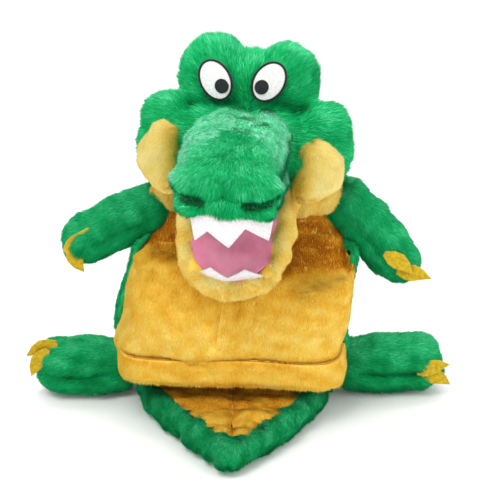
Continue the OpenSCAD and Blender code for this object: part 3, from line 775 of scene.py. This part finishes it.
# Each table gives a size in millimetres at a height in millimetres.
HALF = [(6, 99), (51, 109), (73, 109), (100, 108), (145, 106), (162, 104), (170, 94), (184, 84),
        (200, 72)]
FRONT = [(6, 80), (51, 88), (56, 93), (66, 91), (73, 87), (80, 90), (100, 88), (130, 84), (150, 81),
         (158, 78), (163, 71), (166, 58), (168, 46), (172, 36), (180, 28), (190, 24), (200, 26)]
BACK = [(6, 40), (51, 46), (100, 48), (150, 45), (180, 38), (200, 30)]
LEAN = [(6, -5), (73, -9), (166, 5), (200, 8)]


def look(table, z):
    return np.interp(z, [r[0] for r in table], [r[1] for r in table])


def wall(a, z, extra=0.0):
    """A point of the sleeve at plan angle a in degrees (270 is the front) and height z."""
    a = np.radians(a)
    e = 2 / SLEEVE_POWER
    half = look(HALF, z) + extra
    reach = np.where(np.sin(a) < 0, look(FRONT, z), look(BACK, z)) + extra
    x = look(LEAN, z) + half * np.sign(np.cos(a)) * np.abs(np.cos(a)) ** e
    y = reach * np.sign(np.sin(a)) * np.abs(np.sin(a)) ** e
    # the fold's top edge sinks towards +X
    sink = 19 * smoothstep(x, 0, 50) * smoothstep(z, 120, 162) * smoothstep(176 - z, 0, 12)
    sink = sink + 9 * smoothstep(x, 0, 100) * smoothstep(-z, -110, -60) * smoothstep(z, 20, 50)
    sink = sink * smoothstep(-np.sin(a), 0.05, 0.5)
    return np.stack([x, y, z - sink], -1)


def seam_angle(z):
    """Plan angle of the left side seam; the yellow panel narrows towards the shoulders."""
    return np.interp(z, [51, 90, 160, 200], [189, 190, 192, 206])


def wall_sheet(name, a0, a1, z0, z1, cols, rows, extra=0.0, lumps=1.6, seed=1, foot=None):
    """A sheet of the sleeve between two plan angles, each one number or a function of height."""
    t, z = np.meshgrid(np.linspace(0, 1, cols), np.linspace(z0, z1, rows))
    start = a0(z) if callable(a0) else a0
    end = a1(z) if callable(a1) else a1
    a = start + (end - start) * t
    grid = wall(a, z, extra)
    if foot is not None:
        base = foot(a)
        grid[..., 2] = base + (grid[..., 2] - z0) / (z1 - z0) * (z1 - base)
    grid = placed(grid, WORLD).reshape(rows, cols, 3)
    mesh = grid_mesh(name, grid)
    rumple(mesh, lumps, 60, seed)
    co = coords(mesh)
    co[:, 2] = np.maximum(co[:, 2], 0.0012)
    set_coords(mesh, co)
    return mesh


def solid(mesh, thick, name):
    ob = new_object(name, mesh.copy())
    mod = ob.modifiers.new("thickness", "SOLIDIFY")
    mod.thickness, mod.offset = thick * MM, -1
    graph = bpy.context.evaluated_depsgraph_get()
    made = bpy.data.meshes.new_from_object(ob.evaluated_get(graph))
    bpy.data.objects.remove(ob)
    made.shade_smooth()
    return new_object(name, made)


def outward(mesh, centre):
    """Turns the sheet's faces outwards if they look at the centre."""
    co, no = coords(mesh), normals(mesh)
    if ((co - np.array(centre)) * no).sum() < 0:
        mesh.flip_normals()
    return mesh


def right_seam(z):
    return 540 - seam_angle(z)


def make_belly():
    for name, a0, a1, side in (("left", seam_angle, 270.4, -1), ("right", 269.6, right_seam, 1)):
        mesh = wall_sheet(f"belly_{name}_sheet", a0, a1, STITCH_Z - 1, TOP_Z, 90, 120, 0, 1.8, 30 + side)
        outward(mesh, SLEEVE_MIDDLE)
        press(mesh, placed([wall(270, z) for z in range(60, 201, 4)], WORLD), 3.2, 2.6)
        press(mesh, placed([wall(a, STITCH_Z) for a in range(190, 352, 3)], WORLD), 3.4, 3.0)
        ob = piece(solid(mesh, PLUSH_T, f"belly_{name}_plush"), "torso", YELLOW_SKIN,
                   [f"belly_{name}"])
        belly_fur(f"belly_{name}_fur", mesh, 60000, 100 + side)


def make_hem():
    hem = wall_sheet("hem_sheet", seam_angle, right_seam, HEM_Z - 1, STITCH_Z, 150, 26, 1.2, 1.2, 33)
    outward(hem, SLEEVE_MIDDLE)
    ob = piece(solid(hem, PLUSH_T + 2, "hem_roll"), "torso", YELLOW_SKIN, ["hem_band"])
    belly_fur("hem_fur", hem, 30000, 120)
    bm = bmesh.new()
    for a in np.arange(192, 349, 2.2):
        ends = [ball_points(wall(a + d, STITCH_Z, -0.6), 0.55, 6) for d in (-0.45, 0.45)]
        add_hull(bm, placed(np.concatenate(ends), WORLD))
    mesh = bpy.data.meshes.new("hem_thread")
    bm.to_mesh(mesh)
    bm.free()
    piece(new_object("hem_thread", mesh), "torso", YELLOW_THREAD, ["hem_stitching"])


def back_foot(a):
    """Lower edge of the back panel: on the ground behind, under the hem in front."""
    return 3 + 36 * smoothstep(-np.sin(np.radians(a)), -0.12, 0.18)


def make_back():
    back = wall_sheet("back_sheet", lambda z: 180 - seam_angle(z) - 0.4, lambda z: seam_angle(z) + 0.4,
                      6, TOP_Z, 150, 90, 0, 1.6, 35, back_foot)
    outward(back, SLEEVE_MIDDLE)
    ob = piece(solid(back, PLUSH_T, "back_plush"), "torso", GREEN_SKIN, ["back_panel"])

    def comb(p, n):
        return np.broadcast_to(np.array([0, 0, -1.0]), p.shape) + 0.3 * n
    coat = fur("back_fur", back, LIMB_PILE, 60000, 6.5, comb, 130, 0.66, 0.6)
    piece(coat, "torso")


def make_sleeve():
    make_belly()
    make_hem()
    make_back()
    inner = wall_sheet("lining_sheet", 0, 359.99, STITCH_Z, TOP_Z - 2, 100, 110, -16, 0.3, 37)
    outward(inner, SLEEVE_MIDDLE)
    ob = piece(solid(inner, LINING_T, "sleeve_lining_cloth"), "torso", LINING, ["sleeve_lining"])
    seat_grid = []
    for t in np.linspace(0, 1, 14):
        y = -4 + t * 43
        half = 98 * (1 - max(0, t - 0.5) ** 3 * 1.6)
        seat_grid.append([(x, y, 5.4) for x in np.linspace(-5 - half, -5 + half, 60)])
    seat = grid_mesh("seat_sheet", placed(seat_grid, WORLD).reshape(14, 60, 3))
    outward(seat, (0, 0, -1))
    ob = piece(solid(seat, PLUSH_T, "seat_plush"), "torso", GREEN_SKIN, ["seat_panel"])


def belly_fur(name, mesh, count, seed):
    def comb(p, n):
        return np.broadcast_to(np.array([0.05, -0.15, -1.0]), p.shape)

    def tone(p, n):
        z, x = p[:, 2] / MM, p[:, 0] / MM
        sunk = 19 * smoothstep(x, 0, 50)
        # painted shade in the stitch crease above the hem, in the recess under the fold's top, in the
        # jaw's shadow and along the centre seam; a band of painted light above the hem
        t = 0.5 - 0.9 * np.exp(-((z - STITCH_Z) / 4) ** 2) - 2.6 * smoothstep(z + sunk, 163, 172)
        t = t - 1.3 * np.exp(-((x + 2) / 66) ** 2) * smoothstep(z, 100, 150)
        return t + 0.6 * np.exp(-((z - 92) / 22) ** 2) - 0.5 * np.exp(-((x + 3) / 4) ** 2) + 0.1
    coat = fur(name, mesh, YELLOW_PILE, count, 3.6, comb, seed, 0.72, 0.5, None, tone, 0.15)
    piece(coat, "torso")


# ---- neck ----


def make_neck():
    lean = 8
    for name, a0, a1, mat, tones, nodes in (
            ("neck_front", 200, 340, YELLOW_SKIN, JOWL_PILE, ["neck_front"]),
            ("neck_back", -20, 200, GREEN_SKIN, LIMB_PILE, ["neck_back"])):
        a, t = np.meshgrid(np.radians(np.linspace(a0, a1, 90)), np.linspace(0, 1, 28))
        swell = 0.78 + 0.22 * np.sin(np.pi * np.clip(t * 1.05, 0, 1)) ** 0.6
        x = lean + 95 * swell * np.sign(np.cos(a)) * np.abs(np.cos(a)) ** 0.8
        y = 3 + 44 * swell * np.sign(np.sin(a)) * np.abs(np.sin(a)) ** 0.8
        z = 196 + 38 * t
        mesh = grid_mesh(name, placed(np.stack([x, y, z], -1), WORLD).reshape(28, 90, 3))
        outward(mesh, NECK_MIDDLE)
        rumple(mesh, 1.6, 26, 41)
        ob = piece(solid(mesh, PLUSH_T, name + "_plush"), "neck", mat, nodes)
        coat = fur(name + "_fur", mesh, tones, 16000, 5.0,
                   flow_to((0, -0.2, -1)), 140 + a0, 0.66, 0.55)
        piece(coat, "neck")
    a, t = np.meshgrid(np.radians(np.linspace(0, 359.9, 80)), np.linspace(0, 1, 12))
    x, y = lean + 68 * np.cos(a), 3 + 30 * np.sin(a)
    mesh = grid_mesh("neck_lining_sheet",
                     placed(np.stack([x, y, 197 + 34 * t], -1), WORLD).reshape(12, 80, 3))
    outward(mesh, NECK_MIDDLE)
    ob = piece(solid(mesh, LINING_T, "neck_lining_cloth"), "neck", LINING, ["neck_lining"])


# ---- limbs ----


def limb_frame(name, root, droop, ahead):
    side = -1 if name.startswith("left") else 1
    turn = Matrix.Rotation(np.radians(-ahead * side), 4, "Z") @ \
        Matrix.Rotation(np.radians(droop * side), 4, "Y")
    if side < 0:
        turn = turn @ Matrix.Rotation(np.pi, 4, "Z")
    return Matrix.Translation(Vector(root)) @ turn


CLAW = [(-8, 2.5), (-1, 7), (8, 9), (17, 5.5), (25, -1.5), (16, -4.2), (7, -7.2), (0, -6.5), (-8, -2.5)]


def make_limb(name, root, droop, ahead, balls, claws, count, length, seed):
    """A stuffed limb along +X of its frame, with a lengthwise seam and two felt claws."""
    m = limb_frame(name, root, droop, ahead)
    mesh = fused(name + "_plush", [[a, b] for a, b in zip(balls[:-1], balls[1:])], m, 2.8, 8)
    far = balls[-1][0][0]
    seams = [placed([(x, y, -3) for x in np.linspace(-14, far + 20, 12)], m) for y in (-26, 26)]
    for seam in seams:
        press(mesh, seam, 6, 5)
    rumple(mesh, 1.0, 30, seed)
    co = coords(mesh)
    if "leg" in name:
        co[:, 2] = np.maximum(co[:, 2], SKIN_Z)
        set_coords(mesh, co)
    ob = new_object(name + "_pad", mesh)
    axis = np.array(m.to_3x3() @ Vector((1, 0, 0)))
    hip = np.array(root)
    bend = ("torso", name, Vector(hip - axis * 0.022), Vector(hip + axis * 0.012))
    piece(ob, name, GREEN_SKIN, [f"{name}_upper", f"{name}_lower", f"{name}_stuffing"],
          bend)

    def comb(p, n):
        return np.broadcast_to(axis + np.array([0, 0, -0.35]), p.shape)
    low = 0.0055

    def keep(p):
        return np.where(p[:, 2] < low, 0.0, 1.0) if "leg" in name else np.ones(len(p))
    # the tone paints light on top of the limb, shade underneath and shade along its seams
    coat = fur(name + "_fur", mesh, LIMB_PILE, count, length, comb, seed, 0.68, 0.58, keep,
               lambda p, n: 0.8 * smoothstep(n[:, 2], 0.2, 1) - 1.0 * smoothstep(-n[:, 2], 0.0, 0.9)
               - 1.8 * sum(np.exp(-((near_path(p, seam) / (6 * MM)) ** 2)) for seam in seams))
    piece(coat, name, bend=bend)
    side = -1 if name.startswith("left") else 1
    both = []
    for i, (x, y, z, turn, tip_up) in enumerate(claws):
        outline = toothed(CLAW)
        place = m @ Matrix.Translation(Vector((x, y * side, z)) * MM) @ \
            Matrix.Rotation(np.radians(turn), 4, "Y") @ Matrix.Rotation(np.radians(tip_up), 4, "X")
        both.append(extruded(f"{name}_claw_{i}", outline, CLAW_T, place, 0.4, 3))
    with bpy.context.temp_override(active_object=both[0], selected_editable_objects=both,
                                   object=both[0], selected_objects=both):
        bpy.ops.object.join()
    both[0].name = name + "_claws_felt"
    piece(both[0], name, CLAW_FELT, [f"{name}_claws"])


def make_limbs():
    arm = [((-16, 0, 2), (21, 21, 22)), ((10, 0, 0), (24, 23, 24)), ((36, 0, 0), (24, 23, 24)),
           ((59, 0, -1), (20, 21, 20))]
    at = {n: joint(n + "_swing")["pos_m"] for n in ("left_arm", "right_arm", "left_leg", "right_leg")}
    make_limb("left_arm", at["left_arm"], 22, 10, arm,
              [(70, -17, 4, -160, 10), (70, -17, 0, 88, -10)], 40000, 6.8, 200)
    make_limb("right_arm", at["right_arm"], 45, 14, arm,
              [(50, -24, 5, -14, -8), (70, -19, 3, -40, -4)], 40000, 6.8, 220)
    leg = [((-18, 0, 0), (24, 24, 25)), ((0, 0, 0), (27, 27, 28)), ((14, 0, 0), (28, 28, 28))]
    make_limb("left_leg", at["left_leg"], 0, 4, leg + [((34, 0, 1), (26, 27, 26))],
              [(46, -10, 26, 20, 0), (52, -16, 18, 56, 0)], 40000, 6.8, 240)
    make_limb("right_leg", at["right_leg"], 0, -4, leg + [((45, 0, 1), (26, 28, 27))],
              [(50, -24, 2, -16, 0), (54, -22, -4, 22, 0)], 40000, 6.8, 260)


# ---- tail ----


def make_tail():
    left = [(-98, -16), (-90, -50), (-73, -84), (-54, -114), (-34, -144), (-16, -167)]
    right = [(86, -16), (78, -50), (62, -84), (43, -114), (22, -144), (0, -167)]
    r = 12.5
    hulls = []
    for line in (left, right):
        pts = [(x + (r if line is left else -r) * 0.8, y) for x, y in line]
        hulls += [[((a[0], a[1], 15), (r, r, 14)), ((b[0], b[1], 15), (r, r, 14))]
                  for a, b in zip(pts[:-1], pts[1:])]
    pts = [(x * 0.86 - 1, y * 0.93) for x, y in left + right[::-1]]
    hulls.append([((x, y, 12), (8, 8, 11)) for x, y in pts])
    mesh = fused("tail_plush", hulls, WORLD, 3.0, 8)
    rumple(mesh, 1.2, 24, 61)
    press(mesh, placed([(-7, -176, 34), (-7, -168, 30)], WORLD), 3, 3)
    co = coords(mesh)
    co[:, 2] = np.maximum(co[:, 2], SKIN_Z)
    set_coords(mesh, co)
    ob = piece(new_object("tail_plush", mesh), "tail", GREEN_SKIN,
               ["tail_back", "tail_stuffing"])

    def inside(p):
        q = p / MM
        edge_l = np.interp(-q[:, 1], [-y for _, y in left], [x for x, _ in left]) + 17
        edge_r = np.interp(-q[:, 1], [-y for _, y in right], [x for x, _ in right]) - 17
        return (q[:, 0] > edge_l) & (q[:, 0] < edge_r) & (q[:, 2] > 18)

    def comb(p, n):
        return np.broadcast_to(np.array([0, -1.0, -0.3]), p.shape)
    # painted light on the rim's top, painted shade on its underside
    coat = fur("tail_rim_fur", mesh, LIMB_PILE, 60000, 6.5, comb, 300, 0.66, 0.58,
               lambda p: np.where(inside(p) | (p[:, 2] < 0.005), 0.0, 1.0),
               lambda p, n: 0.7 * smoothstep(n[:, 2], 0.3, 1) - 0.8 * (n[:, 2] < 0))
    piece(coat, "tail")
    for name, side in (("left", -1), ("right", 1)):
        rows, cols = 70, 40
        grid = np.zeros((rows, cols, 3))
        for i in range(rows):
            y = -14 - 149 * i / (rows - 1)
            edge = np.interp(-y, [-q for _, q in (left if side < 0 else right)],
                             [x for x, _ in (left if side < 0 else right)]) - side * 13
            mid = -7
            edge = min(edge, mid - 1) if side < 0 else max(edge, mid + 1)
            xs = np.linspace(mid, edge, cols)
            bow = np.sin(np.linspace(0.05, 0.9, cols) * np.pi) ** 0.7
            grid[i] = np.stack([xs, np.full(cols, y), 27.5 + 5.0 * bow - 9 * (i / rows) ** 6], 1)
        sheet = grid_mesh(f"tail_belly_{name}", placed(grid, WORLD).reshape(rows, cols, 3))
        outward(sheet, (0, -0.08, -1))
        rumple(sheet, 1.4, 26, 63)
        ob = piece(solid(sheet, PLUSH_T, f"tail_belly_{name}_plush"), "tail", YELLOW_SKIN,
                   [f"tail_belly_{name}"])
        # painted shade towards the body, under the hem, and along the middle seam
        coat = fur(f"tail_belly_{name}_fur", sheet, YELLOW_PILE, 24000, 3.8,
                   flow_to((side * 0.5, -1, 0)), 320 + side, 0.7, 0.5, None,
                   lambda p, n: 0.3 - 1.6 * smoothstep(p[:, 1], -0.125, -0.09)
                   - 0.8 * np.exp(-((p[:, 0] + 0.007) / 0.004) ** 2))
        piece(coat, "tail")


# ---- stage ----


def area_light(name, at, aim, size, power):
    data = bpy.data.lights.new(name, "AREA")
    data.shape, data.size, data.energy = "SQUARE", size, power
    ob = new_object(name, data)
    ob.location = at
    ob.rotation_euler = (Vector(aim) - Vector(at)).to_track_quat("-Z", "Y").to_euler()
    return ob


def make_stage():
    floor = new_object("floor", new_mesh("floor", [(-6, -6, -0.0003), (6, -6, -0.0003), (6, 6, -0.0003),
                                                   (-6, 6, -0.0003)], [(0, 1, 2, 3)]))
    mat, _, node = shader("paper", 0.8)
    node.inputs["Base Color"].default_value = (0.97, 0.97, 0.97, 1)
    floor.data.materials.append(mat)
    aim = (0, 0, 0.16)
    lights = [
        area_light("key", (-0.7, -1.0, 1.7), aim, 0.9, 16),
        area_light("fill", (1.3, -1.1, 0.9), aim, 1.2, 6),
        area_light("top", (0.1, 0.5, 1.9), aim, 1.0, 9),
    ]
    world = bpy.data.worlds.new("studio")
    bpy.context.scene.world = world
    world.use_nodes = True
    world.node_tree.nodes["Background"].inputs["Color"].default_value = (1, 1, 1, 1)
    world.node_tree.nodes["Background"].inputs["Strength"].default_value = 1.0
    bpy.context.scene.view_settings.view_transform = "Standard"


CAMERA_TARGET = Vector((0.0097, 0.0, 0.151))
CAMERA_FAR = 1.4
CAMERA_LIFT = 20.0
FOCAL_SHARE = 1443 / 500


def make_camera():
    data = bpy.data.cameras.new("camera")
    data.sensor_width, data.lens = 36, 36 * FOCAL_SHARE
    data.clip_start = 0.05
    cam = new_object("camera", data)
    lift = np.radians(CAMERA_LIFT)
    cam.location = CAMERA_TARGET + CAMERA_FAR * Vector((0, -np.cos(lift), np.sin(lift)))
    cam.rotation_euler = (CAMERA_TARGET - cam.location).to_track_quat("-Z", "Y").to_euler()
    bpy.context.scene.camera = cam


make_camera()
make_head()
make_snout()
make_jowls()
make_throat()
make_eyes()
make_teeth()
make_mouth()
make_jaw()
make_sleeve()
make_neck()
make_limbs()
make_tail()
make_stage()
